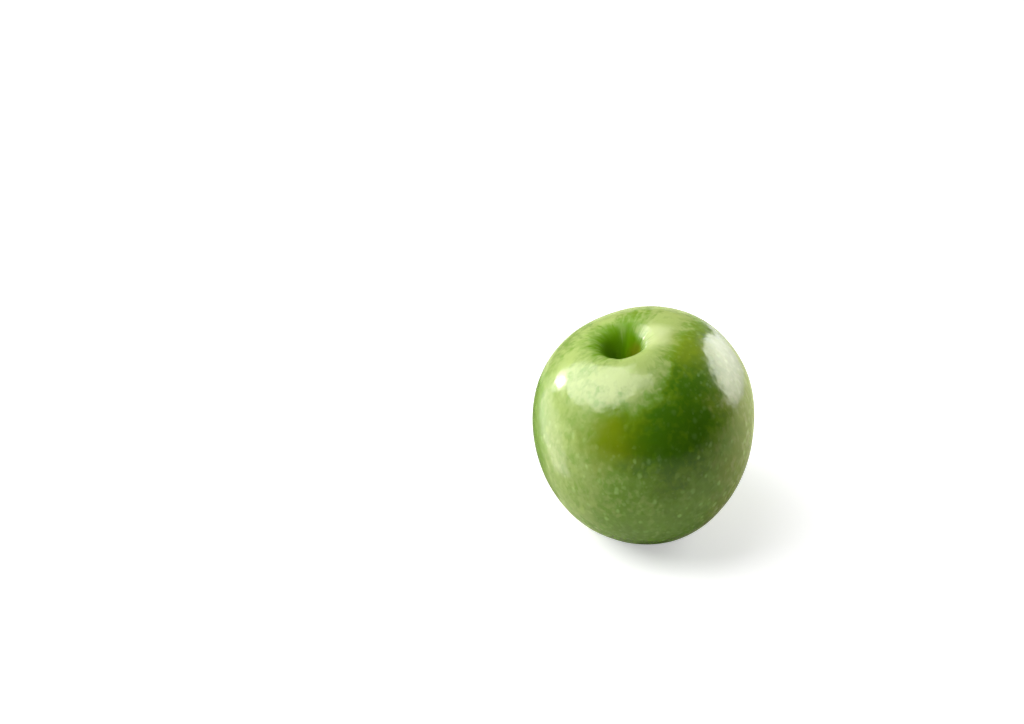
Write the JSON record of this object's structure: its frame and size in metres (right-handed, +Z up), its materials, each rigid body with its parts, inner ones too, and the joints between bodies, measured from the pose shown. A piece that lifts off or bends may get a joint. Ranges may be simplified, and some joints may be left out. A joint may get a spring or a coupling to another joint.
{
  "type": "green apple",
  "caption": "Whole green apple, tall and tapered, standing on the lobes of its base, with an off-centre stem cavity, a short stem stub and a dried calyx.",
  "frame": {"origin": "centre of the bounding box seen from above, on the floor that the apple stands on", "axes": "+Z up; -Y is the front, the side that faces the camera of the picture; +X is to the right from there, across the narrowest way"},
  "size_m": [0.0746, 0.0773, 0.0758],
  "materials": {
    "apple_skin": "glossy waxed skin, mid green with pale spots",
    "stem_wood": "dull, dry, brown",
    "dried_calyx": "dull, dry, brown"
  },
  "bodies": {
    "root": {"fruit": "apple_skin", "stem": "stem_wood", "calyx": "dried_calyx"}
  },
  "joints": []
}
